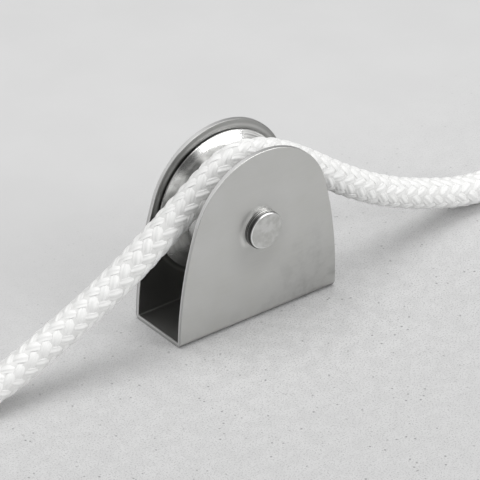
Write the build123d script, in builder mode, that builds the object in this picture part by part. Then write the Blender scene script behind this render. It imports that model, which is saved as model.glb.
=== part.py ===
from build123d import *
import os
from math import acos, atan2, cos, degrees, hypot, isclose, pi, radians, sin, tan

# Flagpole top pulley. Millimetres, +Z up, resting on the bracket's base.
# X runs along the base, the way the rope runs; Y runs along the axle; the origin is the middle of the
# base's underside.

# Bracket: one strip of sheet folded into a U
sheet = 1.0
bracket_width = 15.0
base_length = 40.5
bracket_height = 39.5
crown_set_in = 3.05
inner_bend_radius = 0.3
edge_break = 0.15

# Axle: a rivet whose two ends are upset over the cheeks
axle_diameter = 8.0
axle_height = 21.6
axle_end_growth = 0.4
axle_end_length = 1.7
axle_end_rounding = 0.5

# Sheave: one turning, with a rope groove that is round at the bottom and opens to a narrow land at each side
sheave_side_gap = 0.3
groove_root_diameter = 19.0
groove_depth = 6.25
groove_radius = 3.5
rim_land_width = 0.37
rim_edge_break = 0.12
bore_chamfer = 0.25
bearing_shoulder = 0.9

# Ball bearing pressed into the sheave
bearing_diameter = 14.0
bearing_width = 4.0
ball_diameter = 2.0
ball_count = 9
ball_play = 0.02
ring_land = 0.6
cage_play = 0.06
cage_gap = 0.15
cage_width = 2.6
shield_thickness = 0.2
shield_inset_depth = 0.05
shield_seat_depth = 0.25
shield_gap = 0.1
ring_chamfer = 0.1

# Spacer sleeves that hold the bearing midway between the cheeks
spacer_diameter = 10.0

# Rope, thinner than the groove's bottom by a little play on each side
rope_side_play = 0.1
arc_share = 0.45

# Sizes that follow from the ones above
inner_width = bracket_width - 2 * sheet
outer_bend_radius = inner_bend_radius + sheet
crown_radius = base_length / 2 - crown_set_in
crown_height = bracket_height - crown_radius
axle_radius = axle_diameter / 2
axle_end_radius = axle_radius + axle_end_growth / 2
axle_reach = bracket_width / 2 + axle_end_length
root_radius = groove_root_diameter / 2
rim_radius = root_radius + groove_depth
sheave_width = inner_width - 2 * sheave_side_gap
half_mouth = sheave_width / 2 - rim_land_width
bearing_radius = bearing_diameter / 2
pitch_radius = (axle_radius + bearing_radius) / 2
race_radius = ball_diameter / 2 + ball_play
inner_land_radius = pitch_radius - ring_land
outer_land_radius = pitch_radius + ring_land
shield_seat_radius = outer_land_radius + shield_seat_depth
rope_radius = groove_radius - rope_side_play
rope_top = axle_height + root_radius + rope_radius

# The middle of the rope's route, from its left end over the sheave to its right end
rope_route = [
    (-75.0, -2.6, rope_radius),
    (-65.5, -2.1, rope_radius),
    (-48.0, -1.3, rope_radius + 6.2),
    (-31.8, -0.6, rope_radius + 13.0),
    (-16.5, -0.1, rope_top - 8.5),
    (-4.6, 0.0, rope_top - 0.35),
    (1.5, 0.0, rope_top + 0.4),
    (11.5, 0.0, rope_top - 3.2),
    (29.0, 0.0, rope_top - 16.3),
    (42.0, 0.2, rope_radius + 7.4),
    (57.0, 0.3, rope_radius + 1.85),
    (66.0, 0.2, rope_radius),
    (72.0, 0.0, rope_radius),
]

# The axle line, and planes through it: one along the axle for turned profiles, one across it
axle_line = Axis((0, 0, axle_height), (0, 1, 0))
along_axle = Plane(origin=(0, 0, axle_height), x_dir=(0, 1, 0), z_dir=(1, 0, 0))
across_axle = Plane(origin=(0, 0, axle_height), x_dir=(1, 0, 0), z_dir=(0, -1, 0))


# A round piece turned from a closed profile, whose points are (place along the axle, radius)
def turned(points):
    with BuildPart() as piece:
        with BuildSketch(along_axle):
            with BuildLine():
                Polyline(*points, close=True)
            make_face()
        revolve(axis=axle_line)
    return piece


# A plain sleeve or disc on the axle line, from one place along it to another
def sleeve(start, end, bore_radius, outer_radius):
    return turned([(start, bore_radius), (end, bore_radius), (end, outer_radius), (start, outer_radius)])


# The circular edges of one radius, in order along the axle
def circles_of(piece, radius):
    circles = piece.edges().filter_by(GeomType.CIRCLE)
    return circles.filter_by(lambda edge: isclose(edge.radius, radius, abs_tol=1e-6)).sort_by(Axis.Y)


# Bracket
# Each side of a cheek is one long arc. It stands upright where the bend ends and runs smoothly into the crown.
half_length = base_length / 2
side_rise = crown_height - outer_bend_radius
side_radius = (side_rise**2 + half_length**2 - crown_radius**2) / (2 * (half_length - crown_radius))
side_centre = Vector(half_length - side_radius, outer_bend_radius)
crown_centre = Vector(0, crown_height)
away_from_side = (crown_centre - side_centre).normalized()
join_right = crown_centre + away_from_side * crown_radius
join_left = Vector(-join_right.X, join_right.Y)

with BuildPart() as bracket:
    with BuildSketch(Plane.YZ) as channel:
        Rectangle(bracket_width, bracket_height, align=(Align.CENTER, Align.MIN))
        with Locations((0, sheet)):
            Rectangle(inner_width, bracket_height, align=(Align.CENTER, Align.MIN), mode=Mode.SUBTRACT)
        fillet(channel.vertices().group_by(Axis.Y)[0], outer_bend_radius)
        fillet(channel.vertices().filter_by_position(Axis.Y, 0.9 * sheet, 1.1 * sheet), inner_bend_radius)
    extrude(amount=half_length, both=True)
    with BuildSketch(Plane.XZ):
        with BuildLine():
            foot_right = Vector(half_length, outer_bend_radius)
            foot_left = Vector(-half_length, outer_bend_radius)
            RadiusArc(foot_right, join_right, -side_radius)
            ThreePointArc(join_right, crown_centre + Vector(0, crown_radius), join_left)
            RadiusArc(join_left, foot_left, -side_radius)
            Polyline(foot_left, (-half_length, 0), (half_length, 0), foot_right)
        make_face()
    extrude(amount=bracket_width, both=True, mode=Mode.INTERSECT)
    # The cut edges of the sheet are slightly broken all round
    cut_edges = bracket.edges().filter_by(
        lambda edge: not (edge.geom_type == GeomType.LINE and abs(edge.tangent_at(0.5).X) > 0.99)
        and not (edge.geom_type == GeomType.LINE and edge.length < 1.5 * sheet and abs(edge.tangent_at(0.5).Y) > 0.99)
    )
    fillet(cut_edges, edge_break)
    with BuildSketch(across_axle):
        Circle(axle_radius)
    extrude(amount=bracket_width, both=True, mode=Mode.SUBTRACT)

# Axle
with BuildPart() as axle:
    with BuildSketch(along_axle):
        with BuildLine():
            Polyline(
                (-axle_reach, 0),
                (-axle_reach, axle_end_radius),
                (-bracket_width / 2, axle_end_radius),
                (-bracket_width / 2, axle_radius),
                (bracket_width / 2, axle_radius),
                (bracket_width / 2, axle_end_radius),
                (axle_reach, axle_end_radius),
                (axle_reach, 0),
                close=True,
            )
        make_face()
    revolve(axis=axle_line)
    end_rims = circles_of(axle, axle_end_radius)
    fillet([end_rims[0], end_rims[-1]], axle_end_rounding)

# Sheave
# The groove's round bottom runs tangent into straight flanks, which lean outwards to the lands at the rim.
groove_centre_radius = root_radius + groove_radius
mouth_rise = rim_radius - groove_centre_radius
mouth_angle = atan2(mouth_rise, half_mouth)
flank = acos(groove_radius / hypot(half_mouth, mouth_rise)) - mouth_angle
flank_foot = (groove_radius * cos(flank), groove_centre_radius - groove_radius * sin(flank))
half_sheave = sheave_width / 2
half_bearing = bearing_width / 2
shoulder_radius = bearing_radius - bearing_shoulder

with BuildPart() as sheave:
    with BuildSketch(along_axle):
        with BuildLine():
            CenterArc((0, groove_centre_radius), groove_radius, 180 + degrees(flank), 180 - 2 * degrees(flank))
            Polyline(
                flank_foot,
                (half_mouth, rim_radius),
                (half_sheave, rim_radius),
                (half_sheave, shoulder_radius),
                (half_bearing, shoulder_radius),
                (half_bearing, bearing_radius),
                (-half_sheave, bearing_radius),
                (-half_sheave, rim_radius),
                (-half_mouth, rim_radius),
                (-flank_foot[0], flank_foot[1]),
            )
        make_face()
    revolve(axis=axle_line)
    fillet(circles_of(sheave, rim_radius), rim_edge_break)
    chamfer(circles_of(sheave, bearing_radius)[0], bore_chamfer)
    chamfer(circles_of(sheave, shoulder_radius)[-1], bore_chamfer)

# Bearing rings, each with a round race for the balls and, in the outer one, a step at each side for a shield
with BuildPart() as bearing_outer_ring:
    with BuildSketch(along_axle):
        with BuildLine():
            Polyline(
                (-half_bearing, shield_seat_radius),
                (-half_bearing, bearing_radius),
                (half_bearing, bearing_radius),
                (half_bearing, shield_seat_radius),
                (half_bearing - shield_seat_depth, shield_seat_radius),
                (half_bearing - shield_seat_depth, outer_land_radius),
                (-half_bearing + shield_seat_depth, outer_land_radius),
                (-half_bearing + shield_seat_depth, shield_seat_radius),
                close=True,
            )
        make_face()
    revolve(axis=axle_line)
    outer_corners = circles_of(bearing_outer_ring, bearing_radius)
    chamfer(outer_corners, ring_chamfer)
    with BuildSketch(along_axle):
        with Locations((0, pitch_radius)):
            Circle(race_radius)
    revolve(axis=axle_line, mode=Mode.SUBTRACT)

with BuildPart() as bearing_inner_ring:
    with BuildSketch(along_axle):
        with Locations((0, (axle_radius + inner_land_radius) / 2)):
            Rectangle(bearing_width, inner_land_radius - axle_radius)
    revolve(axis=axle_line)
    chamfer(circles_of(bearing_inner_ring, axle_radius), ring_chamfer)
    with BuildSketch(along_axle):
        with Locations((0, pitch_radius)):
            Circle(race_radius)
    revolve(axis=axle_line, mode=Mode.SUBTRACT)

# Balls, and the cage that keeps them apart, with a round pocket drilled through it for each ball
with BuildPart(across_axle) as bearing_balls:
    with PolarLocations(pitch_radius, ball_count):
        Sphere(ball_diameter / 2)

with BuildPart(across_axle) as ball_cage:
    Cylinder(outer_land_radius - cage_gap, cage_width)
    Cylinder(inner_land_radius + cage_gap, cage_width, mode=Mode.SUBTRACT)
    with PolarLocations(pitch_radius, ball_count):
        Cylinder(ball_diameter / 2 + cage_play, pitch_radius, rotation=(0, 90, 0), mode=Mode.SUBTRACT)

# Shields: thin discs let into the outer ring, one at each side
shield_outer_face = half_bearing - shield_inset_depth
shield_inner_face = shield_outer_face - shield_thickness
shield_bore_radius = inner_land_radius + shield_gap
bearing_shield_front = sleeve(-shield_outer_face, -shield_inner_face, shield_bore_radius, shield_seat_radius)
bearing_shield_back = sleeve(shield_inner_face, shield_outer_face, shield_bore_radius, shield_seat_radius)

# Spacers between the bearing's inner ring and the cheeks
spacer_front = sleeve(-inner_width / 2, -half_bearing, axle_radius, spacer_diameter / 2)
spacer_back = sleeve(half_bearing, inner_width / 2, axle_radius, spacer_diameter / 2)

# Rope: straight runs joined by tangent arcs, each arc as large as its two runs allow
corners = [Vector(point) for point in rope_route]
runs = [after - before for before, after in zip(corners, corners[1:])]
turns = [radians(first.get_angle(second)) for first, second in zip(runs, runs[1:])]
rope_radii = [
    arc_share * min(first.length, second.length) / tan(turn / 2)
    for first, second, turn in zip(runs, runs[1:], turns)
]

with BuildPart() as rope:
    with BuildLine() as rope_middle:
        FilletPolyline(*rope_route, radius=rope_radii)
    route = rope_middle.wire()
    with BuildSketch(Plane(origin=route @ 0, z_dir=route % 0)):
        Circle(rope_radius)
    sweep(path=route)

print("rope runs, mm:", [round(run.length, 1) for run in runs])
print("rope arc radii, mm:", [round(radius, 1) for radius in rope_radii])
rope_section = pi * rope_radius**2
print("rope length, mm:", round(route.length, 2))
print("rope volume over section times length:", round(rope.part.volume / (rope_section * route.length), 5))

pieces = {
    "bracket": bracket,
    "axle": axle,
    "sheave": sheave,
    "bearing_outer_ring": bearing_outer_ring,
    "bearing_inner_ring": bearing_inner_ring,
    "bearing_balls": bearing_balls,
    "ball_cage": ball_cage,
    "bearing_shield_front": bearing_shield_front,
    "bearing_shield_back": bearing_shield_back,
    "spacer_front": spacer_front,
    "spacer_back": spacer_back,
    "rope": rope,
}

os.makedirs("parts", exist_ok=True)
for label, piece in pieces.items():
    piece.part.label = label
    export_step(piece.part, f"parts/{label}.step")
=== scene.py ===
"""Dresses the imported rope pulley.

It gives the metal its finishes, braids the rope, and sets the floor, the light and the camera.
"""

import logging
import math
from dataclasses import dataclass, field
from enum import Enum
from random import Random

import bpy
from mathutils import Matrix, Vector


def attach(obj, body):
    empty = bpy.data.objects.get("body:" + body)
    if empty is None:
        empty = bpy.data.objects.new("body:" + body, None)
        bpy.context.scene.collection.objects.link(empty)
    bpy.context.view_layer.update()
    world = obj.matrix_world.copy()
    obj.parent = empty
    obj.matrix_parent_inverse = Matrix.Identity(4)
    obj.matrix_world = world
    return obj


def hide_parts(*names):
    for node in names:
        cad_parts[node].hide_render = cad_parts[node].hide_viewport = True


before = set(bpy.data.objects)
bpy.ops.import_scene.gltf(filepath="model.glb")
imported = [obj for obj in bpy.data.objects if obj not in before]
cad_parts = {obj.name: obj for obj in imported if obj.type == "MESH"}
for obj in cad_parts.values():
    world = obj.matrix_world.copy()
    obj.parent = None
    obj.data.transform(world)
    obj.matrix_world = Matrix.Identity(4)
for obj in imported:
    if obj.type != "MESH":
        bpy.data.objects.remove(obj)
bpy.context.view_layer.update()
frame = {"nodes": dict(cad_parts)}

log = logging.getLogger("pulley")

# Shapes are in metres, and the finishes are laid out in millimetres
MM = 0.001
# The height of the axle's line, in millimetres
AXLE_HEIGHT = 21.6
# A socket that carries a colour or a vector
Link = bpy.types.NodeSocket
Colour = tuple[float, float, float, float]
Point = tuple[float, float, float]
# The value that gives 0 and the value that gives 1, in either order
Span = tuple[float, float]
# A face's points, and a place on the flat map or on an outline
Face = tuple[int, ...]
Spot = tuple[float, float]
# A strand's points, its faces and its flat map
Strand = tuple[list[Vector], list[Face], list[Spot]]
# A ring of a tube: the point of the route, how far past that point it is, and its radius
Ring = tuple[int, float, float]


class Operation(Enum):
    """The Math node operations that the finishes use."""

    ADD = "ADD"
    SUBTRACT = "SUBTRACT"
    MULTIPLY = "MULTIPLY"
    POWER = "POWER"
    ABSOLUTE = "ABSOLUTE"
    COSINE = "COSINE"
    MINIMUM = "MINIMUM"
    MAXIMUM = "MAXIMUM"
    ANGLE = "ARCTAN2"


class Hand(Enum):
    """The way a strand of the braid winds round the rope."""

    RIGHT = 1
    LEFT = -1


class Sock:
    """A number socket of a node tree, which Python expressions can work with."""

    def __init__(self, graph: "Graph", socket: Link) -> None:
        """Wraps an output socket of a graph."""
        self.graph = graph
        self.socket = socket

    def _with(self, operation: Operation, other: "Sock | float", swapped: bool = False) -> "Sock":
        """Returns what a Math node makes of this value and another, which is first if swapped."""
        first, second = (other, self) if swapped else (self, other)
        return self.graph.math(operation, first, second)

    def __add__(self, other: "Sock | float") -> "Sock":
        """Returns this value plus another."""
        return self._with(Operation.ADD, other)

    def __radd__(self, other: "Sock | float") -> "Sock":
        """Returns another value plus this one."""
        return self._with(Operation.ADD, other, swapped=True)

    def __sub__(self, other: "Sock | float") -> "Sock":
        """Returns this value less another."""
        return self._with(Operation.SUBTRACT, other)

    def __rsub__(self, other: "Sock | float") -> "Sock":
        """Returns another value less this one."""
        return self._with(Operation.SUBTRACT, other, swapped=True)

    def __mul__(self, other: "Sock | float") -> "Sock":
        """Returns this value times another."""
        return self._with(Operation.MULTIPLY, other)

    def __rmul__(self, other: "Sock | float") -> "Sock":
        """Returns another value times this one."""
        return self._with(Operation.MULTIPLY, other, swapped=True)

    def __pow__(self, other: "Sock | float") -> "Sock":
        """Returns this value to a power."""
        return self._with(Operation.POWER, other)

    def __abs__(self) -> "Sock":
        """Returns this value without its sign."""
        return self.graph.math(Operation.ABSOLUTE, self)

    def lowest(self, other: "Sock | float") -> "Sock":
        """Returns the smaller of this value and another."""
        return self._with(Operation.MINIMUM, other)

    def highest(self, other: "Sock | float") -> "Sock":
        """Returns the larger of this value and another."""
        return self._with(Operation.MAXIMUM, other)

    def swing(self, size: float) -> "Sock":
        """Returns this value, 0.5 on average, as a swing of a given size to both sides of 0."""
        return (self - 0.5) * size

    def step(self, low: float, high: float) -> "Sock":
        """Eases this value from 0 at one limit to 1 at another.

        Args:
            low: The value that gives 0.
            high: The value that gives 1, which may be the lower of the two.

        Returns:
            The eased value's socket.
        """
        if low > high:
            return 1.0 - self.step(high, low)
        node = self.graph.add(
            "ShaderNodeMapRange",
            {"interpolation_type": "SMOOTHSTEP"},
            {"Value": self, "From Min": low, "From Max": high},
        )
        return self.graph.out(node, "Result")


class Graph:
    """The node tree of one finish, or of the world."""

    def __init__(self, tree: bpy.types.NodeTree) -> None:
        """Empties a node tree, to fill it anew."""
        self.tree = tree
        tree.nodes.clear()

    def add(
        self,
        kind: str,
        settings: dict[str, object] | None = None,
        inputs: dict[str | int, object] | None = None,
    ) -> bpy.types.Node:
        """Adds one node.

        Args:
            kind: The node's type.
            settings: The node's own settings, which are set first.
            inputs: Values or links for its input sockets, by name or number.

        Returns:
            The new node.
        """
        node = self.tree.nodes.new(kind)
        for name, value in (settings or {}).items():
            setattr(node, name, value)
        for key, value in (inputs or {}).items():
            socket = node.inputs[key]
            if isinstance(value, Sock):
                self.tree.links.new(value.socket, socket)
            elif isinstance(value, Link):
                self.tree.links.new(value, socket)
            else:
                socket.default_value = value
        return node

    def out(self, node: bpy.types.Node, key: str | int = 0) -> Sock:
        """Returns a node's output as a number socket."""
        return Sock(self, node.outputs[key])

    def math(
        self, operation: Operation, first: Sock | float, second: Sock | float | None = None
    ) -> Sock:
        """Returns what a Math node makes of one value or two."""
        inputs = {0: first} if second is None else {0: first, 1: second}
        return self.out(self.add("ShaderNodeMath", {"operation": operation.value}, inputs))

    def place(self) -> Link:
        """Returns the place on the object, in millimetres of the part's own frame."""
        place = self.add("ShaderNodeTexCoord").outputs["Object"]
        inputs = {0: place, "Scale": 1.0 / MM}
        return self.add("ShaderNodeVectorMath", {"operation": "SCALE"}, inputs).outputs[0]

    def facing(self) -> tuple[Sock, Sock, Sock]:
        """Returns the three parts of the surface's own direction."""
        return self.parts(self.add("ShaderNodeTexCoord").outputs["Normal"])

    def parts(self, vector: Link) -> tuple[Sock, Sock, Sock]:
        """Returns a vector's three numbers."""
        split = self.add("ShaderNodeSeparateXYZ", None, {0: vector})
        return self.out(split, 0), self.out(split, 1), self.out(split, 2)

    def vector(self, x: Sock | float, y: Sock | float, z: Sock | float) -> Link:
        """Returns a vector made of three numbers."""
        return self.add("ShaderNodeCombineXYZ", None, {0: x, 1: y, 2: z}).outputs[0]

    def stretched(self, vector: Link, by: Point) -> Link:
        """Returns a vector times another one, part by part."""
        inputs = {0: vector, 1: by}
        return self.add("ShaderNodeVectorMath", {"operation": "MULTIPLY"}, inputs).outputs[0]

    def tint(self, factor: Sock, first: object, second: object) -> Link:
        """Returns a mix of two colours or colour sockets: the first at 0, the second at 1."""
        inputs = {0: factor, 6: first, 7: second}
        return self.add("ShaderNodeMix", {"data_type": "RGBA"}, inputs).outputs[2]

    def leaned(self, amount: Sock) -> Link:
        """Leans the surface's normal along the axle.

        Args:
            amount: How far it leans, as a share of the normal's own length.

        Returns:
            The leaned normal's socket.
        """
        upright = self.add("ShaderNodeNewGeometry").outputs["Normal"]
        inputs = {0: upright, 1: self.vector(0.0, amount, 0.0)}
        summed = self.add("ShaderNodeVectorMath", {"operation": "ADD"}, inputs).outputs[0]
        return self.add("ShaderNodeVectorMath", {"operation": "NORMALIZE"}, {0: summed}).outputs[0]


@dataclass(frozen=True)
class Noise:
    """Smooth noise: how fine it is, how many finer layers it has, and how strong those are.

    Where it has a stretch, the place that it is read at is multiplied by it, part by part.
    """

    scale: float
    detail: float
    roughness: float
    stretch: Point | None = None

    def over(self, graph: Graph, vector: Link) -> Sock:
        """Adds the noise.

        Args:
            graph: The graph that it is added to.
            vector: Where it is read.

        Returns:
            The noise, about 0.5 on average.
        """
        inputs = {
            "Vector": graph.stretched(vector, self.stretch) if self.stretch else vector,
            "Scale": self.scale,
            "Detail": self.detail,
            "Roughness": self.roughness,
        }
        return graph.out(graph.add("ShaderNodeTexNoise", None, inputs))


@dataclass(frozen=True)
class Specks:
    """Small round marks: how close together they are, how large, and which cells have one.

    A mark comes in over its size's distances from its cell's middle. The choice goes by a number
    that each cell has.
    """

    scale: float
    size: Span
    choice: Span

    def over(self, graph: Graph, vector: Link) -> Sock:
        """Adds the marks.

        Args:
            graph: The graph that they are added to.
            vector: Where they are read.

        Returns:
            1 on the marks and 0 between them.
        """
        inputs = {"Vector": vector, "Scale": self.scale}
        cells = graph.add("ShaderNodeTexVoronoi", None, inputs)
        chosen, _, _ = graph.parts(cells.outputs["Color"])
        return graph.out(cells, "Distance").step(*self.size) * chosen.step(*self.choice)


@dataclass(frozen=True)
class Relief:
    """A fine relief: what a height of 1 stands for, in metres, and how much of it shows."""

    depth: float
    strength: float

    def over(self, graph: Graph, height: Sock, under: Link | None = None) -> Link:
        """Turns a height into a bumped normal.

        Args:
            graph: The material's graph.
            height: The height, from 0 to 1.
            under: The normal that the relief is laid over, where it isn't the surface's own.

        Returns:
            The normal's socket.
        """
        inputs = {"Height": height, "Distance": self.depth, "Strength": self.strength}
        if under is not None:
            inputs["Normal"] = under
        return graph.add("ShaderNodeBump", None, inputs).outputs[0]


@dataclass(frozen=True)
class Band:
    """A range of one value with soft ends: where it comes in, and where it goes out again."""

    start: Span
    end: Span

    def of(self, value: Sock) -> Sock:
        """Returns 1 where a value is inside the band and 0 where it is past its ends."""
        return value.step(*self.start) * value.step(*self.end)


def grey(level: float, warmth: float = 0.0) -> Colour:
    """Returns a grey, a little less blue where it is warm."""
    return (level, level, level * (1.0 - warmth), 1.0)


@dataclass(frozen=True)
class Film:
    """A thin layer of one grey: how bright and how warm it is, and how much of it covers.

    A film with a span of its own comes in over that span of the value that it is given.
    """

    level: float
    warmth: float = 0.0
    cover: float = 1.0
    span: Span | None = None

    def over(self, graph: Graph, under: object, mask: Sock) -> Link:
        """Returns a colour with the film over it, by a mask or by the value of its span."""
        eased = mask.step(*self.span) if self.span else mask
        return graph.tint(eased * self.cover, under, grey(self.level, self.warmth))


@dataclass(frozen=True)
class Blend:
    """Two colours, and the values where the first and the second one are pure."""

    first: Colour
    second: Colour
    span: Span

    def of(self, graph: Graph, value: Sock) -> Link:
        """Returns the colour that a value gives."""
        return graph.tint(value.step(*self.span), self.first, self.second)


def reach(first: Sock, second: Sock) -> Sock:
    """Returns the length of two parts that stand square to each other."""
    return (first * first + second * second) ** 0.5


def finish_graph(name: str) -> tuple[bpy.types.Material, Graph]:
    """Starts a material.

    Args:
        name: The material's name.

    Returns:
        The material and its empty graph.
    """
    material = bpy.data.materials.new(name)
    material.use_nodes = True
    return material, Graph(material.node_tree)


def surfaced(
    graph: Graph,
    colour: Link,
    metallic: Sock | float,
    roughness: Sock | float,
    normal: Link,
    more: dict[str, object] | None = None,
) -> None:
    """Ends a material with its shader.

    Args:
        graph: The material's graph.
        colour: The surface's colour.
        metallic: How much of it is bare metal.
        roughness: How rough it is.
        normal: Its normal.
        more: What any other sockets hold.
    """
    inputs = {"Base Color": colour, "Metallic": metallic, "Roughness": roughness, "Normal": normal}
    shader = graph.add("ShaderNodeBsdfPrincipled", None, {**inputs, **(more or {})})
    graph.add("ShaderNodeOutputMaterial", None, {"Surface": shader.outputs[0]})


@dataclass(frozen=True)
class SatinSheet:
    """Satin stainless sheet, finely brushed along its length, with bright cut edges.

    The cut edges carry painted highlights, lighter towards the inner arris and where they face
    partly up, with painted shade where they face straight up. Painted shade darkens the sheet round
    the axle's end, a painted shadow lies below the axle and a pale matt patch of painted light lies
    beside it; a painted contact shadow runs along the foot where the sheet stands on the floor. It
    is darker towards the lower right corner, with dark blotches that gather there and at the foot.
    The inner faces are painted darker, as painted shade inside the channel, with a pale ring round
    the axle.
    """

    roughness: float = 0.36
    streak_roughness: float = 0.12
    cloud_roughness: float = 0.08
    cut_roughness: float = 0.16
    relief: Relief = Relief(0.02 * MM, 0.35)
    streaks: Noise = Noise(2.6, 3.0, 0.6, (0.06, 1.6, 1.6))
    streak_share: float = 0.7
    clouds: Noise = Noise(0.12, 3.0, 0.55)
    grain: Noise = Noise(9.0, 2.0, 0.6)
    half_width: float = 7.5
    inner_side: Span = (6.62, 6.52)
    inner_floor: Span = (0.85, 0.95)
    cut_lean: Span = (0.5, 0.3)
    fold_height: Span = (1.5, 1.3)
    fold_lean: Span = (0.4, 0.6)
    face: Blend = Blend(grey(0.589, 0.035), grey(0.6386, 0.02), (0.25, 0.8))
    # Painted shade on the sheet round the axle's end, broken up by the clouds
    axle_shade: Film = Film(0.341, 0.03, 0.12)
    axle_shade_reach: Span = (9.5, 4.6)
    axle_shade_clouds: Span = (0.3, 0.7)
    # Painted shadow below the axle's end, broken up by the clouds
    axle_shadow: Film = Film(0.31, 0.03)
    axle_shadow_aside: float = 0.5
    axle_shadow_height: float = 17.6
    axle_shadow_reach: Span = (9.5, 2.5)
    axle_shadow_cover: float = 0.2
    # Painted light: a pale, partly matt patch left of the axle's end, so that diffuse light
    # brightens the sheet there
    painted_axle_light: Film = Film(0.9, 0.03, 0.9)
    painted_axle_light_height: Span = (-3.8, -2.2)
    painted_axle_light_side: Span = (-1.4, -3.0)
    painted_axle_light_reach: Span = (6.0, 4.4)
    painted_axle_light_matt: float = 0.7
    # Darker towards the lower right corner
    corner: Film = Film(0.31, 0.03, 0.36)
    corner_along: Span = (-4.0, 17.0)
    corner_height: Span = (24.0, 3.0)
    # Dark blotches, thickest towards the lower right corner and the foot
    blotching: Film = Film(0.279, 0.04)
    blotches: Noise = Noise(0.24, 3.0, 0.6)
    blotch_edge: Span = (0.42, 0.7)
    foot_height: Span = (5.0, 0.8)
    corner_blotching: float = 0.34
    foot_blotching: float = 0.16
    face_blotching: float = 0.04
    # Painted contact shadow along the foot, where the sheet stands on the floor
    contact_shadow: Film = Film(0.062, 0.02, 0.9, (0.85, 0.4))
    brushed: Film = Film(0.744, 0.01, 0.1, (0.3, 0.75))
    # Painted shade: the inner faces are darker than the outer ones
    inner_face_shade: Colour = grey(0.37, 0.02)
    # A pale ring on the inner faces, round the axle
    pale_ring: Film = Film(0.9, 0.01, 0.28, (0.55, 0.05))
    pale_ring_radius: float = 16.6
    outer_edge: Colour = grey(0.56, 0.01)
    # Painted highlights on the cut edges: lighter towards the inner arris and where an edge faces
    # partly up, with painted shade where it faces straight up
    inner_arris_highlight: Film = Film(0.84, 0.01, 1.0, (0.3, 0.95))
    shoulder_edge_highlight: Film = Film(0.96, 0.01, 1.0, (0.14, 0.4))
    crown_edge_shade: Film = Film(0.4816, 0.01, 1.0, (0.55, 0.92))

    def material(self) -> bpy.types.Material:
        """Builds the material.

        Returns:
            The sheet's material.
        """
        material, graph = finish_graph("satin_sheet")
        place = graph.place()
        x, y, z = graph.parts(place)
        _, facing_y, facing_z = graph.facing()
        streaks = self.streaks.over(graph, place)
        clouds = self.clouds.over(graph, place)
        grain = self.grain.over(graph, place)
        up = z - AXLE_HEIGHT
        from_axle = reach(x, up)
        # Painted light left of the axle's end
        painted_axle_light = up.step(*self.painted_axle_light_height) * x.step(*self.painted_axle_light_side)
        painted_axle_light = painted_axle_light * from_axle.step(*self.painted_axle_light_reach)
        flat = z.step(*self.fold_height) * abs(facing_z).step(*self.fold_lean)
        cut = abs(facing_y).step(*self.cut_lean) * (1.0 - flat)
        inside = abs(y).step(*self.inner_side) * z.step(*self.inner_floor)

        # Painted shade round the axle's end
        axle_shade = from_axle.step(*self.axle_shade_reach) * clouds.step(*self.axle_shade_clouds)
        # Painted shadow below the axle's end
        axle_shadow = reach(x + self.axle_shadow_aside, z - self.axle_shadow_height).step(*self.axle_shadow_reach)
        axle_shadow = axle_shadow * (clouds * self.axle_shadow_cover + self.axle_shadow_cover)
        # Darker towards the lower right corner, with blotches thickest there and at the foot
        corner = x.step(*self.corner_along) * z.step(*self.corner_height)
        blotching = corner * self.corner_blotching + z.step(*self.foot_height) * self.foot_blotching
        blotches = self.blotches.over(graph, place).step(*self.blotch_edge)
        outer = self.axle_shade.over(graph, self.face.of(graph, clouds), axle_shade)
        outer = self.axle_shadow.over(graph, outer, axle_shadow)
        outer = self.painted_axle_light.over(graph, outer, painted_axle_light)
        outer = self.corner.over(graph, outer, corner)
        outer = self.blotching.over(graph, outer, blotches * (blotching + self.face_blotching))
        # Painted contact shadow along the foot
        outer = self.contact_shadow.over(graph, outer, z)
        outer = self.brushed.over(graph, outer, streaks)
        # Painted shade on the inner faces, with the pale ring round the axle
        inner = self.pale_ring.over(graph, self.inner_face_shade, abs(from_axle - self.pale_ring_radius))
        depth = (self.half_width - abs(y)).lowest(z)
        # Painted highlights and painted shade on the cut edges, by depth and by how far they face
        # up
        edges = self.inner_arris_highlight.over(graph, self.outer_edge, depth)
        edges = self.shoulder_edge_highlight.over(graph, edges, facing_z)
        edges = self.crown_edge_shade.over(graph, edges, facing_z)

        colour = graph.tint(cut * (1.0 - inside), graph.tint(inside, outer, inner), edges)
        rough = self.roughness + streaks.swing(self.streak_roughness)
        rough = rough + clouds.swing(self.cloud_roughness) + cut * self.cut_roughness
        height = streaks * self.streak_share + grain * (1.0 - self.streak_share)
        # The painted light's patch is made partly matt
        metallic = 1.0 - painted_axle_light * self.painted_axle_light_matt
        surfaced(graph, colour, metallic, rough, self.relief.over(graph, height))
        return material


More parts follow.
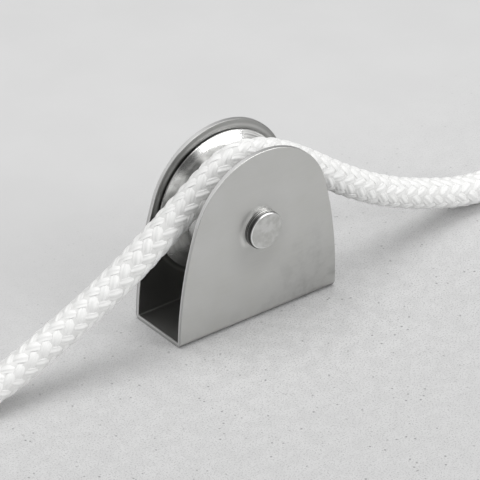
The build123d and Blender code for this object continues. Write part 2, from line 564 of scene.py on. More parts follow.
@dataclass(frozen=True)
class TurnedAxle:
    """A turned steel pin with upset ends: dented end faces, grooved collars, painted light and
    shade.
    """

    roughness: float = 0.3
    dent_roughness: float = 0.16
    end_roughness: float = 0.08
    rim_roughness: float = 0.08
    relief: Relief = Relief(0.06 * MM, 0.5)
    cheek: float = 7.5
    rings: Noise = Noise(5.0, 3.0, 0.6)
    ring_drift: float = 0.2
    ring_height: float = 0.5
    dents: Noise = Noise(0.5, 3.0, 0.6)
    dent_height: float = 1.5
    hoops: Noise = Noise(4.2, 2.0, 0.7)
    hoop_height: float = 1.2
    groove_depth: float = 1.5
    inner_groove: Band = Band((0.3, 0.4), (0.62, 0.52))
    outer_groove: Band = Band((0.8, 0.9), (1.1, 1.0))
    root: Span = (0.16, 0.04)
    end_lean: Span = (0.6, 0.9)
    side_lean: Span = (0.9, 0.76)
    rim_highlight_lean: Band = Band((0.8, 0.9), (0.998, 0.985))
    rim_highlight_side: Span = (2.6, -0.6)
    corner_lean: Band = Band((0.03, 0.08), (0.66, 0.48))
    face: Blend = Blend(grey(0.5208, 0.035), grey(0.6572, 0.02), (0.34, 0.66))
    # Painted highlight: the pin's side and the left part of its face's rim are made far brighter
    # than the end face
    bright: Film = Film(0.92, 0.01)
    # Painted shade on the pin's left side, darker along the turned hoops
    left_side_shade: Film = Film(0.07, 0.02)
    left_side_shade_span: Span = (-0.6, -2.6)
    left_side_shade_hoops: Span = (0.75, 0.35)
    hoop_shade: float = 0.35
    side_shade: float = 0.62
    shadow: Film = Film(0.04, 0.02, 0.85)

    def material(self) -> bpy.types.Material:
        """Builds the material.

        Returns:
            The axle's material.
        """
        material, graph = finish_graph("turned_axle")
        place = graph.place()
        x, y, z = graph.parts(place)
        out = reach(x, z - AXLE_HEIGHT)
        lean = abs(graph.facing()[1])
        beyond = abs(y) - self.cheek
        rings = self.rings.over(graph, graph.vector(out, y * self.ring_drift, 0.0))
        dents = self.dents.over(graph, place)
        hoops = self.hoops.over(graph, graph.vector(0.0, y, 0.0))
        end, side = lean.step(*self.end_lean), lean.step(*self.side_lean)
        rim_highlight = self.rim_highlight_lean.of(lean) * x.step(*self.rim_highlight_side)
        groove = self.inner_groove.of(beyond) + self.outer_groove.of(beyond)
        hidden = groove.highest(beyond.step(*self.root)).highest(self.corner_lean.of(lean))
        # Painted shade on the left side, darker along the hoops
        left_side_shade = hoops.step(*self.left_side_shade_hoops) * self.hoop_shade + self.side_shade
        left_side_shade = x.step(*self.left_side_shade_span) * side * left_side_shade

        # Painted highlight on the side and the rim
        colour = self.bright.over(graph, self.face.of(graph, dents), side.highest(rim_highlight))
        colour = self.left_side_shade.over(graph, colour, left_side_shade)
        colour = self.shadow.over(graph, colour, hidden * side)
        rough = self.roughness + dents.swing(self.dent_roughness)
        rough = rough + end * self.end_roughness - rim_highlight * self.rim_roughness
        height = (rings * self.ring_height + dents * self.dent_height) * end
        height = height + hoops * (1.0 - end) * self.hoop_height - groove * side * self.groove_depth
        surfaced(graph, colour, 1.0, rough, self.relief.over(graph, height))
        return material


@dataclass(frozen=True)
class PolishedTurning:
    """A bright turning, with fine rings that the tool has left.

    The groove's far flank has a painted dark reflection with painted highlights on either side of
    it, and two pale matt stretches of painted light. Their ends are angles round the axle, in
    radians.
    """

    roughness: float = 0.2
    ring_roughness: float = 0.12
    drag_roughness: float = 0.14
    relief: Relief = Relief(0.012 * MM, 0.6)
    ring_spread: float = 0.6
    rings: Noise = Noise(5.5, 3.0, 0.65, (1.0, 1.0, 0.12))
    drag: Noise = Noise(1.4, 3.0, 0.6, (0.8, 0.8, 1.6))
    fine: Noise = Noise(90.0, 1.0, 0.5, (1.0, 1.0, 0.02))
    chatter: Noise = Noise(1.0, 3.0, 0.7, (0.12, 0.12, 60.0))
    face: Blend = Blend(grey(0.54, 0.02), grey(0.648, 0.01), (0.3, 0.75))
    ringed: Film = Film(0.36, 0.02, 0.25, (0.55, 0.85))
    far_flank: Span = (2.6, 4.4)
    patch_drag: Span = (0.3, 0.7)
    # Painted highlights on the far flank, on either side of the painted dark reflection
    painted_flank_highlight: Film = Film(0.95, 0.01, 0.75)
    painted_flank_highlight_above: Band = Band((0.9, 1.2), (2.12, 1.98))
    painted_flank_highlight_below: Band = Band((2.36, 2.5), (2.85, 2.6))
    # Painted dark reflection on the far flank, patchy along the drag marks
    painted_dark_reflection: Film = Film(0.12, 0.02)
    painted_dark_reflection_turn: Band = Band((1.98, 2.16), (2.42, 2.28))
    painted_dark_reflection_drag: float = 0.3
    painted_dark_reflection_even: float = 0.55
    # Painted light: two pale matt stretches, less metallic so that diffuse light brightens them
    painted_flank_light: Film = Film(0.95, 0.02)
    painted_flank_light_low: Band = Band((-3.12, -2.95), (-2.42, -2.78))
    painted_flank_light_low_side: Span = (2.6, 3.4)
    painted_flank_light_high: Band = Band((0.5, 0.85), (1.36, 1.16))
    painted_flank_light_rings: Span = (0.35, 0.6)
    painted_flank_light_ring_share: float = 0.4
    painted_flank_light_even_share: float = 0.42
    painted_flank_light_drag_share: float = 0.25
    painted_flank_light_metal_cut: float = 0.8

    def material(self) -> bpy.types.Material:
        """Builds the material.

        Returns:
            The sheave's material.
        """
        material, graph = finish_graph("polished_turning")
        x, y, z = graph.parts(graph.place())
        up = z - AXLE_HEIGHT
        turn = graph.math(Operation.ANGLE, up, x)
        around = graph.vector(reach(x, up), y, turn)
        rings = self.rings.over(graph, around)
        drag = self.drag.over(graph, around)
        fine = self.fine.over(graph, around)
        chatter = self.chatter.over(graph, around)
        flank = y.step(*self.far_flank)
        patches = drag.step(*self.patch_drag)
        # Painted highlights on the far flank
        painted_flank_highlight = self.painted_flank_highlight_above.of(turn).highest(self.painted_flank_highlight_below.of(turn)) * flank
        # Painted dark reflection on the far flank
        painted_dark_reflection = self.painted_dark_reflection_turn.of(turn) * flank * (patches * self.painted_dark_reflection_drag + self.painted_dark_reflection_even)
        streaks = rings.step(*self.painted_flank_light_rings) * self.painted_flank_light_ring_share + self.painted_flank_light_even_share
        # Painted light on two pale matt stretches
        low = self.painted_flank_light_low.of(turn) * y.step(*self.painted_flank_light_low_side)
        high = self.painted_flank_light_high.of(turn) * flank * streaks
        painted_flank_light = low.highest(high) * (patches * self.painted_flank_light_drag_share + (1.0 - self.painted_flank_light_drag_share))

        colour = self.ringed.over(graph, self.face.of(graph, drag), rings)
        colour = self.painted_flank_highlight.over(graph, colour, painted_flank_highlight)
        colour = self.painted_flank_light.over(graph, colour, painted_flank_light)
        colour = self.painted_dark_reflection.over(graph, colour, painted_dark_reflection)
        rough = self.roughness + rings.swing(self.ring_roughness)
        rough = rough + drag.swing(self.drag_roughness)
        normal = self.relief.over(graph, chatter, graph.leaned(fine.swing(self.ring_spread)))
        surfaced(graph, colour, 1.0 - painted_flank_light * self.painted_flank_light_metal_cut, rough, normal)
        return material


@dataclass(frozen=True)
class GroundSteel:
    """Ground and honed bearing steel with a thin film of oil."""

    name: str = "ground_steel"
    roughness: float = 0.14
    ring_roughness: float = 0.1
    relief: Relief = Relief(0.01 * MM, 0.4)
    coat: float = 0.25
    rings: Noise = Noise(9.0, 2.0, 0.6)
    film: Noise = Noise(0.9, 2.0, 0.5)
    face: Blend = Blend(grey(0.5828, 0.01), grey(0.651, 0.01), (0.3, 0.7))
    coat_film: Span = (0.4, 0.6)

    def material(self) -> bpy.types.Material:
        """Builds the material.

        Returns:
            The bearing's material.
        """
        material, graph = finish_graph(self.name)
        place = graph.place()
        x, y, z = graph.parts(place)
        out = reach(x, z - AXLE_HEIGHT)
        rings = self.rings.over(graph, graph.vector(out, y, 0.0))
        film = self.film.over(graph, place)
        rough = self.roughness + rings.swing(self.ring_roughness)
        coat = {"Coat Weight": film.step(*self.coat_film) * self.coat}
        normal = self.relief.over(graph, rings)
        surfaced(graph, self.face.of(graph, film), 1.0, rough, normal, coat)
        return material


@dataclass(frozen=True)
class CageBrass:
    """Drilled brass of the ball cage, a little dulled by oil."""

    face: Blend = Blend((0.5, 0.36, 0.17, 1.0), (0.72, 0.55, 0.27, 1.0), (0.35, 0.7))
    roughness: float = 0.3
    wear_roughness: float = 0.2
    relief: Relief = Relief(0.02 * MM, 0.4)
    wear: Noise = Noise(1.3, 3.0, 0.6)
    tooling: Noise = Noise(3.0, 2.0, 0.6, (1.0, 6.0, 1.0))

    def material(self) -> bpy.types.Material:
        """Builds the material.

        Returns:
            The cage's material.
        """
        material, graph = finish_graph("cage_brass")
        place = graph.place()
        wear = self.wear.over(graph, place)
        rough = self.roughness + wear.swing(self.wear_roughness)
        normal = self.relief.over(graph, self.tooling.over(graph, place))
        surfaced(graph, self.face.of(graph, wear), 1.0, rough, normal)
        return material


@dataclass(frozen=True)
class BraidedFibre:
    """White filament yarns, a few side by side in each strand, with a soft gloss along them."""

    name: str = "braided_fibre"
    bright: Colour = (0.905, 0.905, 0.895, 1.0)
    # The darker fibre tone, which also serves as painted shade in the gaps between the yarns
    dark_tone_and_gap_shade: Colour = (0.835, 0.836, 0.827, 1.0)
    roughness: float = 0.42
    filament_roughness: float = 0.2
    sheen: float = 0.15
    sheen_roughness: float = 0.4
    relief: Relief = Relief(0.22 * MM, 0.6)
    yarns: float = 3.0
    yarn_height: float = 0.8
    yarn_gap_shade: Span = (0.35, 0.0)
    gap_shade_cover: float = 0.5
    filaments: Noise = Noise(1.0, 3.0, 0.6, (24.0, 0.7, 0.0))
    filament_height: float = 0.4
    filament_shade: Span = (0.35, 0.75)
    unevenness: Noise = Noise(0.5, 2.0, 0.5)
    uneven_shade: Span = (0.35, 0.7)
    uneven_cover: float = 0.25

    def material(self) -> bpy.types.Material:
        """Builds the material, on a map that runs across each strand and, in millimetres, along it.

        Returns:
            The braid's material.
        """
        material, graph = finish_graph(self.name)
        flat = graph.add("ShaderNodeTexCoord").outputs["UV"]
        across, _, _ = graph.parts(flat)
        # The map's width goes right round a strand, so it holds the yarns of both its faces
        ridges = across * (2.0 * self.yarns * 2.0 * math.pi)
        yarn = graph.math(Operation.COSINE, ridges) * 0.5 + 0.5
        filaments = self.filaments.over(graph, flat)
        uneven = self.unevenness.over(graph, graph.place()).step(*self.uneven_shade)

        colour = graph.tint(filaments.step(*self.filament_shade), self.bright, self.dark_tone_and_gap_shade)
        colour = graph.tint(uneven * self.uneven_cover, colour, self.dark_tone_and_gap_shade)
        # Painted shade in the gaps between the yarns
        colour = graph.tint(yarn.step(*self.yarn_gap_shade) * self.gap_shade_cover, colour, self.dark_tone_and_gap_shade)
        rough = self.roughness + filaments.swing(self.filament_roughness)
        height = yarn * self.yarn_height + filaments * self.filament_height
        sheen = {"Sheen Weight": self.sheen, "Sheen Roughness": self.sheen_roughness}
        surfaced(graph, colour, 0.0, rough, self.relief.over(graph, height), sheen)
        return material


@dataclass(frozen=True)
class SealedFibre:
    """Fibre melted together at the rope's cut end: glassy, a little yellowed, with flow marks."""

    face: Blend = Blend((0.82, 0.81, 0.77, 1.0), (0.6, 0.55, 0.45, 1.0), (0.45, 0.8))
    roughness: float = 0.22
    flow_roughness: float = 0.25
    depth_share: float = 0.2
    depth: Point = (1.5 * MM, 1.4 * MM, 1.2 * MM)
    relief: Relief = Relief(0.3 * MM, 0.5)
    flow: Noise = Noise(1.2, 3.0, 0.6, (0.7, 1.0, 1.0))

    def material(self) -> bpy.types.Material:
        """Builds the material.

        Returns:
            The sealed ends' material.
        """
        material, graph = finish_graph("sealed_fibre")
        flow = self.flow.over(graph, graph.place())
        rough = self.roughness + flow * self.flow_roughness
        glow = {
            "Subsurface Weight": self.depth_share,
            "Subsurface Radius": self.depth,
            "Subsurface Scale": 1.0,
        }
        normal = self.relief.over(graph, flow)
        surfaced(graph, self.face.of(graph, flow), 0.0, rough, normal, glow)
        return material


@dataclass(frozen=True)
class PlasterFloor:
    """A smooth pale floor, with painted light just in front of the part.

    Painted shade darkens it towards the camera. Nearer the camera it has a fine grain, a faint
    mottling, dark specks and patches of dust.
    """

    level: float = 0.615
    roughness: float = 0.75
    gloss: float = 0.3
    relief: Relief = Relief(0.15 * MM, 0.5)
    grain_reach: Span = (60.0, -25.0)
    clouds: Noise = Noise(0.05, 3.0, 0.5)
    cloud_edge: Span = (0.3, 0.7)
    dark_clouds: float = 0.985
    light_clouds: float = 1.01
    # Painted shade: the floor darker towards the camera
    front: Span = (-8.0, -72.0)
    front_level: float = 0.955
    front_cover: float = 0.95
    # Painted light on the floor just in front of the part, which lifts the shadow there
    painted_floor_light_along: Band = Band((-34.0, -8.0), (36.0, 12.0))
    painted_floor_light_across: Band = Band((-46.0, -13.0), (4.0, -4.0))
    painted_floor_light_level: float = 1.07
    mottling: Noise = Noise(0.3, 2.0, 0.6)
    mottle_edge: Span = (0.38, 0.62)
    mottle_level: float = 0.86
    mottle_cover: float = 0.4
    grain: Noise = Noise(2.8, 2.0, 0.8)
    grain_edge: Span = (0.5, 0.68)
    grain_level: float = 0.65
    dust: Specks = Specks(0.55, (0.17, 0.09), (0.4, 0.46))
    dust_patches: Noise = Noise(0.09, 2.0, 0.5)
    dust_patch_edge: Span = (0.4, 0.56)
    dust_level: float = 0.35
    specks: Specks = Specks(0.16, (0.05, 0.028), (0.42, 0.47))
    speck_level: float = 0.3
    dirt_cover: float = 0.75

    def material(self) -> bpy.types.Material:
        """Builds the material.

        Returns:
            The floor's material.
        """
        material, graph = finish_graph("plaster_floor")
        place = graph.place()
        x, y, _ = graph.parts(place)
        near = y.step(*self.grain_reach)
        grain = self.grain.over(graph, place)
        mottling = self.mottling.over(graph, place).step(*self.mottle_edge)
        clouds = self.clouds.over(graph, place).step(*self.cloud_edge)
        # Painted light just in front of the part
        painted_floor_light = self.painted_floor_light_along.of(x) * self.painted_floor_light_across.of(y)
        patches = self.dust_patches.over(graph, place).step(*self.dust_patch_edge)
        dust = self.dust.over(graph, place)
        specks = self.specks.over(graph, place)

        dark, light = grey(self.level * self.dark_clouds), grey(self.level * self.light_clouds)
        colour = graph.tint(clouds, dark, light)
        layers = (
            # Painted shade towards the camera
            (y.step(*self.front) * self.front_cover, self.front_level),
            (painted_floor_light, self.painted_floor_light_level),
            (mottling * near * self.mottle_cover, self.mottle_level),
            (grain.step(*self.grain_edge) * near, self.grain_level),
            (dust * patches * near * self.dirt_cover, self.dust_level),
            (specks * near * self.dirt_cover, self.speck_level),
        )
        for mask, share in layers:
            colour = graph.tint(mask, colour, grey(self.level * share))
        normal = self.relief.over(graph, grain * near)
        surfaced(graph, colour, 0.0, self.roughness, normal, {"Specular IOR Level": self.gloss})
        return material


def dressed(piece: bpy.types.Object, material: bpy.types.Material) -> None:
    """Gives every material slot of a piece one material."""
    if not piece.material_slots:
        piece.data.materials.append(material)
    for slot in piece.material_slots:
        slot.material = material


def mesh_piece(
    name: str, vertices: list[Vector], faces: list[Face], maps: list[Spot] | None = None
) -> bpy.types.Object:
    """Makes a smooth mesh object.

    Args:
        name: The piece's name.
        vertices: Its points.
        faces: Its faces, as numbers of points.
        maps: The flat map's place for each corner of each face in turn, where it has one.

    Returns:
        The new object.
    """
    mesh = bpy.data.meshes.new(name)
    mesh.from_pydata([tuple(vertex) for vertex in vertices], [], faces)
    mesh.polygons.foreach_set("use_smooth", [True] * len(faces))
    if maps:
        layer = mesh.uv_layers.new(name="along_strand")
        layer.data.foreach_set("uv", [number for place in maps for number in place])
    mesh.update()
    piece = bpy.data.objects.new(name, mesh)
    bpy.context.scene.collection.objects.link(piece)
    return piece


@dataclass
class Bracket:
    """The folded sheet bracket and the axle riveted into it."""

    sheet: SatinSheet = SatinSheet()
    pin: TurnedAxle = TurnedAxle()
    sleeve: GroundSteel = GroundSteel(name="turned_sleeve", roughness=0.28, coat=0.0)

    def dress(self, nodes: dict[str, bpy.types.Object]) -> None:
        """Gives the bracket, the axle and the spacer sleeves their finishes."""
        dressed(nodes["bracket"], self.sheet.material())
        dressed(nodes["axle"], self.pin.material())
        sleeve = self.sleeve.material()
        for name in ("spacer_front", "spacer_back"):
            dressed(nodes[name], sleeve)


@dataclass
class Wheel:
    """The sheave with the ball bearing pressed into it."""

    turning: PolishedTurning = PolishedTurning()
    steel: GroundSteel = GroundSteel()
    brass: CageBrass = CageBrass()

    def dress(self, nodes: dict[str, bpy.types.Object]) -> None:
        """Gives the sheave and the bearing's pieces their finishes."""
        dressed(nodes["sheave"], self.turning.material())
        steel = self.steel.material()
        for name, node in nodes.items():
            if name.startswith("bearing_"):
                dressed(node, steel)
        dressed(nodes["ball_cage"], self.brass.material())


@dataclass
class Route:
    """The line that the rope follows: a smooth spline, read at evenly spaced points."""

    points: tuple[Point, ...]
    step: float
    resolution: int = 40
    length: float = field(init=False, default=0.0)
    count: int = field(init=False, default=0)
    middle: list[Vector] = field(init=False, default_factory=list)
    sideways: list[Vector] = field(init=False, default_factory=list)
    upward: list[Vector] = field(init=False, default_factory=list)

    def read(self) -> None:
        """Reads the spline's line, and the directions that stand square to it."""
        line = self._drawn()
        reached = [0.0]
        for before, after in zip(line, line[1:]):
            reached.append(reached[-1] + (after - before).length)
        self.length = reached[-1]
        self.count = round(self.length / self.step) + 1
        place = 0
        for number in range(self.count):
            wanted = self.along(number)
            while place < len(line) - 2 and reached[place + 1] < wanted:
                place += 1
            share = (wanted - reached[place]) / (reached[place + 1] - reached[place])
            self.middle.append(line[place].lerp(line[place + 1], share))
        for number in range(self.count):
            forward = self.forward(self.middle, number)
            across = Vector((0, 1, 0))
            across = (across - forward * across.dot(forward)).normalized()
            self.sideways.append(across)
            self.upward.append(across.cross(forward))

    def along(self, number: int) -> float:
        """Returns how far along the line one of its points is."""
        return self.length * number / (self.count - 1)

    def forward(self, line: list[Vector], number: int) -> Vector:
        """Returns the way that a line with as many points as this one goes at one of them."""
        before, after = line[max(number - 1, 0)], line[min(number + 1, self.count - 1)]
        return (after - before).normalized()

    def around(self, number: int, angle: float, radius: float) -> Vector:
        """Returns a point beside one of the line's, at an angle in radians and a distance."""
        beside = self.sideways[number] * math.cos(angle) + self.upward[number] * math.sin(angle)
        return self.middle[number] + beside * radius

    def _drawn(self) -> list[Vector]:
        """Draws the spline.

        Returns:
            The points of its line.
        """
        curve = bpy.data.curves.new("rope_route", "CURVE")
        curve.dimensions = "3D"
        curve.resolution_u = self.resolution
        spline = curve.splines.new("NURBS")
        spline.points.add(len(self.points) - 1)
        for control, place in zip(spline.points, self.points):
            control.co = (*place, 1.0)
        # Set after the points, because the order can't be higher than their number
        spline.order_u = 3
        spline.use_endpoint_u = True
        holder = bpy.data.objects.new("rope_route", curve)
        drawn = bpy.data.meshes.new_from_object(holder)
        line = [vertex.co.copy() for vertex in drawn.vertices]
        bpy.data.objects.remove(holder)
        bpy.data.meshes.remove(drawn)
        bpy.data.curves.remove(curve)
        return line


@dataclass(frozen=True)
class Ripple:
    """A small wave along a strand: its size, and the length of rope that one radian of it takes."""

    size: float
    per_radian: float

    def at(self, along: float, start: float) -> float:
        """Returns its height at a distance along the rope, where it starts at a given angle."""
        return self.size * math.sin(along / self.per_radian + start)


@dataclass
class Rope:
    """A rope of twenty strands, ten each way, each passing over two and under two."""

    radius: float = 3.4 * MM
    strands_each_way: int = 10
    stitch_pitch: float = 3.4 * MM
    middle_radius: float = 2.6 * MM
    rise: float = 0.32 * MM
    strand_half_width: float = 0.97 * MM
    strand_half_height: float = 0.48 * MM
    strand_points: int = 12
    strand_roundness: float = 1.1
    column_turn: float = 10.0
    column_start: float = -1.0
    drifts: tuple[Ripple, Ripple] = (Ripple(0.05, 9.3 * MM), Ripple(0.03, 3.1 * MM))
    swells: tuple[Ripple, Ripple] = (Ripple(0.05, 5.7 * MM), Ripple(0.04, 1.9 * MM))
    crown_swell: float = 0.14
    closing: float = 0.14
    closing_length: float = 4.0 * MM
    strand_offset: float = 37.0
    hand_offset: float = 400.0
    core_radius: float = 3.19 * MM
    core_sides: int = 16
    core_spacing: int = 2
    tip_length: float = 3.2 * MM
    tip_share: float = 0.93
    tip_sides: int = 28
    tip_profile: tuple[Spot, ...] = (
        *((0.0, 0.1), (0.02, 0.45), (0.08, 0.72), (0.2, 0.9)),
        *((0.38, 0.98), (0.6, 1.0), (0.82, 0.97), (1.0, 0.9)),
    )
    step: float = 0.45 * MM
    seed: int = 7
    route_points: tuple[Point, ...] = (
        (-0.075, -0.0026, 0.0034),
        (-0.0655, -0.0021, 0.0034),
        (-0.048, -0.0013, 0.0096),
        (-0.0318, -0.0006, 0.0164),
        (-0.0165, -0.0001, 0.026),
        (-0.0046, 0.0, 0.03415),
        (0.0015, 0.0, 0.0349),
        (0.0115, 0.0, 0.0313),
        (0.029, 0.0, 0.0182),
        (0.042, 0.0002, 0.0108),
        (0.057, 0.0003, 0.00525),
        (0.066, 0.0002, 0.0034),
        (0.072, 0.0, 0.0034),
    )
    fibre: BraidedFibre = BraidedFibre()
    # Painted shade: the core shows only between the strands, and its fibre is made darker than
    # theirs
    core_fibre_shade: BraidedFibre = BraidedFibre(
        "core_fibre_shade", (0.78, 0.78, 0.77, 1.0), (0.71, 0.71, 0.7, 1.0)
    )
    sealed: SealedFibre = SealedFibre()
    route: Route = field(init=False)

    def build(self) -> None:
        self.route = Route(self.route_points, self.step)
        self.route.read()
        braid = self._braid()
        core = self._core()
        tips = [self._tip("rope_tip_left", True), self._tip("rope_tip_right", False)]
        fibre = self.fibre.material()
        sealed = self.sealed.material()
        dressed(braid, fibre)
        dressed(core, self.core_fibre_shade.material())
        for tip in tips:
            dressed(tip, sealed)
        for piece in (braid, core, *tips):
            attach(piece, "frame")
        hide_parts("rope")
        strands = 2 * self.strands_each_way
        log.info("rope: %d strands on a line of %.1f mm", strands, self.route.length / MM)

    def _strand_line(self, hand: Hand, number: int, wobble: list[float]) -> list[Vector]:
        """Lays out the line of one strand.

        Args:
            hand: The way it winds.
            number: Which strand of its hand.
            wobble: Where its waves start.

        Returns:
            A point for each point of the route.
        """
        route = self.route
        lay_length = self.strands_each_way * self.stitch_pitch
        start = 2 * math.pi * number / self.strands_each_way
        line: list[Vector] = []
        for place in range(route.count):
            along = route.along(place)
            drift = self.drifts[0].at(along, wobble[0]) + self.drifts[1].at(along, wobble[1])
            twist = self.column_start + self.column_turn * along
            angle = start + hand.value * 2 * math.pi * along / lay_length + drift + twist
            wave = math.cos(self.strands_each_way / 2 * (angle - twist) - math.pi / 4)
            lift = -hand.value * self.rise * wave
            from_end = min(along, route.length - along)
            opened = min(1.0, from_end / self.closing_length)
            closed = (1.0 - self.closing) + self.closing * opened
            line.append(route.around(place, angle, (self.middle_radius + lift) * closed))
        return line

    def _strand_points(self, line: list[Vector], wobble: list[float]) -> list[Vector]:
        """Lays a ring of points round each point of a strand's line.

        Args:
            line: The strand's line.
            wobble: Where its waves start.

        Returns:
            The points, ring by ring.
        """
        route = self.route
        points: list[Vector] = []
        for place, middle in enumerate(line):
            forward = route.forward(line, place)
            outward = middle - route.middle[place]
            across = forward.cross(outward.normalized()).normalized()
            up = across.cross(forward)
            along = route.along(place)
            plump = 1.0 + self.swells[0].at(along, wobble[2]) + self.swells[1].at(along, wobble[3])
            plump *= 1.0 + self.crown_swell * (outward.length - self.middle_radius) / self.rise
            for corner in range(self.strand_points):
                turn = 2 * math.pi * corner / self.strand_points
                wide = math.cos(turn) * self.strand_half_width * plump
                rounded = abs(math.sin(turn)) ** self.strand_roundness
                high = math.copysign(rounded, math.sin(turn)) * self.strand_half_height
                points.append(middle + across * wide + up * high)
        return points

    def _strand(self, hand: Hand, number: int, chance: Random) -> Strand:
        """Builds one strand.

        Args:
            hand: The way it winds.
            number: Which strand of its hand.
            chance: Where its small irregularities come from.

        Returns:
            Its points, its faces and its flat map.
        """
        wobble = [chance.uniform(0, 2 * math.pi) for _ in range(4)]
        points = self._strand_points(self._strand_line(hand, number, wobble), wobble)
        sides = self.strand_points
        # Each strand has its own stretch of the map, so that no two have the same filaments
        offset = self.strand_offset * number + (0.0 if hand is Hand.RIGHT else self.hand_offset)
        faces: list[Face] = []
        maps: list[Spot] = []
        for place in range(self.route.count - 1):
            here, there = place * sides, (place + 1) * sides
            near, far = place * self.step / MM + offset, (place + 1) * self.step / MM + offset
            for corner in range(sides):
                following = (corner + 1) % sides
                faces.append((here + corner, here + following, there + following, there + corner))
                low, high = corner / sides, (corner + 1) / sides
                maps += [(low, near), (high, near), (high, far), (low, far)]
        last = (self.route.count - 1) * sides
        faces.append(tuple(reversed(range(sides))))
        faces.append(tuple(range(last, last + sides)))
        maps += [(0.0, 0.0)] * (2 * sides)
        return points, faces, maps

    def _braid(self) -> bpy.types.Object:
        """Builds all the strands as one piece.

        Returns:
            The braid.
        """
        chance = Random(self.seed)
        vertices: list[Vector] = []
        faces: list[Face] = []
        maps: list[Spot] = []
        for hand in Hand:
            for number in range(self.strands_each_way):
                points, sides, places = self._strand(hand, number, chance)
                base = len(vertices)
                vertices += points
                faces += [tuple(base + index for index in side) for side in sides]
                maps += places
        return mesh_piece("rope_braid", vertices, faces, maps)

    def _tube(self, name: str, rings: list[Ring], sides: int) -> bpy.types.Object:
        """Builds a closed tube along the route.

        Args:
            name: The piece's name.
            rings: The tube's rings, from one end to the other.
            sides: How many points each ring has.

        Returns:
            The tube.
        """
        route = self.route
        vertices: list[Vector] = []
        for place, past, radius in rings:
            forward = route.upward[place].cross(route.sideways[place])
            for corner in range(sides):
                angle = 2 * math.pi * corner / sides
                vertices.append(route.around(place, angle, radius) + forward * past)
        faces: list[Face] = []
        for ring in range(len(rings) - 1):
            low, high = ring * sides, (ring + 1) * sides
            for corner in range(sides):
                following = (corner + 1) % sides
                faces.append((low + corner, high + corner, high + following, low + following))
        faces.append(tuple(range(sides)))
        last = (len(rings) - 1) * sides
        faces.append(tuple(reversed(range(last, last + sides))))
        # A tube has no yarns, so all of it reads one place of the map, on a yarn's crest
        return mesh_piece(name, vertices, faces, [(0.5, 0.0)] * sum(len(face) for face in faces))

    def _core(self) -> bpy.types.Object:
        """Returns the core that fills the braid."""
        picks = range(self.core_spacing, self.route.count - self.core_spacing, self.core_spacing)
        return self._tube("rope_core", [(n, 0.0, self.core_radius) for n in picks], self.core_sides)

    def _tip(self, name: str, at_start: bool) -> bpy.types.Object:
        """Builds one melted end.

        Args:
            name: The piece's name.
            at_start: Whether it is the end that the route starts from.

        Returns:
            The sealed end.
        """
        place = 0 if at_start else self.route.count - 1
        inward = 1.0 if at_start else -1.0
        edge = self.radius * self.tip_share
        outline = [
            (place, inward * self.tip_length * share, edge * wide)
            for share, wide in self.tip_profile
        ]
        return self._tube(name, outline if at_start else outline[::-1], self.tip_sides)


@dataclass(frozen=True)
class SoftBox:
    """A soft box: an evenly lit rectangle that faces the part."""

    name: str
    place: Point
    width: float
    height: float
    power: float
    aimed_at: Point = (0.0, 0.0, 15.0 * MM)

    def hang(self) -> None:
        """Hangs the soft box in the room."""
        lamp = bpy.data.lights.new(self.name, "AREA")
        lamp.shape = "RECTANGLE"
        lamp.size = self.width
        lamp.size_y = self.height
        lamp.energy = self.power
        holder = bpy.data.objects.new(self.name, lamp)
        bpy.context.scene.collection.objects.link(holder)
        holder.location = self.place
        aim = Vector(self.aimed_at) - Vector(self.place)
        holder.rotation_euler = aim.to_track_quat("-Z", "Y").to_euler()


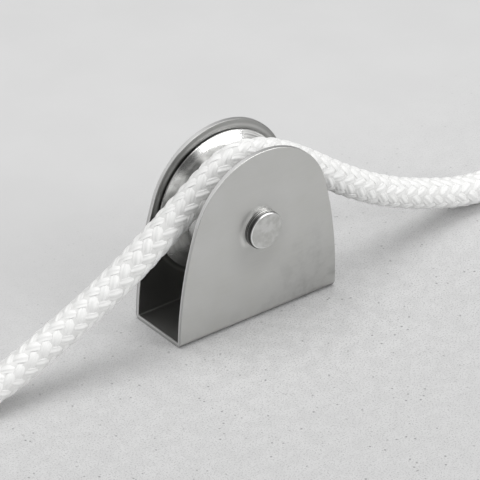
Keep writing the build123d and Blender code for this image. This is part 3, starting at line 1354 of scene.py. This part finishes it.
@dataclass
class Studio:
    """The floor, the lights and the camera."""

    azimuth: float = -39.424
    elevation: float = 31.908
    roll: float = 1.634
    distance: float = 918.61 * MM
    target: Point = (0.671 * MM, 0.0, 14.601 * MM)
    focal_pixels: float = 4500.0
    picture_pixels: float = 480.0
    sensor_width: float = 36.0
    view_depth: float = 20.0
    floor_size: float = 3.0
    horizon_level: float = 0.12
    zenith_level: float = 1.09
    climb: float = 1.3
    wall_level: float = 0.68
    overhead: SoftBox = SoftBox("overhead_box", (-0.04, 0.145, 0.6), 0.36, 0.36, 1.4)
    side: SoftBox = SoftBox("side_box", (0.3, -0.47, 0.225), 0.37, 0.27, 1.4)
    floor_finish: PlasterFloor = PlasterFloor()

    def build(self) -> None:
        """Sets the stage for the part."""
        self._floor()
        self._sky()
        self.overhead.hang()
        self.side.hang()
        self._camera()

    def _floor(self) -> None:
        """Lays the floor that the part stands on."""
        half = self.floor_size / 2
        corners = ((-half, -half), (half, -half), (half, half), (-half, half))
        floor = mesh_piece("floor", [Vector((*corner, 0.0)) for corner in corners], [(0, 1, 2, 3)])
        dressed(floor, self.floor_finish.material())

    def _sky(self) -> None:
        """Fills the room with even light, with a pale wall where a view looks past the floor."""
        world = bpy.data.worlds.new("studio")
        world.use_nodes = True
        bpy.context.scene.world = world
        graph = Graph(world.node_tree)
        seen = graph.add("ShaderNodeLightPath").outputs["Is Camera Ray"]
        _, _, height = graph.parts(graph.add("ShaderNodeTexCoord").outputs["Generated"])
        climbed = height.highest(0.0) ** self.climb
        level = self.horizon_level + climbed * (self.zenith_level - self.horizon_level)
        room = graph.add("ShaderNodeBackground", None, {"Color": grey(1.0), "Strength": level})
        wall = graph.add("ShaderNodeBackground", None, {"Color": grey(self.wall_level)})
        inputs = {0: seen, 1: room.outputs[0], 2: wall.outputs[0]}
        shown = graph.add("ShaderNodeMixShader", None, inputs)
        graph.add("ShaderNodeOutputWorld", None, {"Surface": shown.outputs[0]})

    def _camera(self) -> None:
        """Sets the camera where the photograph was taken from."""
        turn, lift, roll = map(math.radians, (self.azimuth, self.elevation, self.roll))
        aside, away = math.sin(turn) * math.cos(lift), math.cos(turn) * math.cos(lift)
        back = Vector((aside, -away, math.sin(lift)))
        right = Vector((math.cos(turn), math.sin(turn), 0.0))
        up = back.cross(right)
        rolled_right = right * math.cos(roll) + up * math.sin(roll)
        rolled_up = up * math.cos(roll) - right * math.sin(roll)
        lens = bpy.data.cameras.new("camera")
        lens.sensor_width = self.sensor_width
        lens.lens = self.focal_pixels * self.sensor_width / self.picture_pixels
        lens.clip_end = self.view_depth
        holder = bpy.data.objects.new("camera", lens)
        bpy.context.scene.collection.objects.link(holder)
        axes = Matrix((rolled_right, rolled_up, back)).transposed().to_4x4()
        holder.matrix_world = Matrix.Translation(Vector(self.target) + back * self.distance) @ axes
        bpy.context.scene.camera = holder


def main() -> None:
    """Dresses the part piece by piece."""
    logging.basicConfig(level=logging.INFO, format="%(message)s")
    nodes = frame["nodes"]
    Bracket().dress(nodes)
    log.info("bracket, axle and spacers dressed")
    Wheel().dress(nodes)
    log.info("sheave and bearing dressed")
    Rope().build()
    Studio().build()
    log.info("studio set")
    bpy.context.scene.view_settings.view_transform = "Standard"


if __name__ == "__main__":
    main()
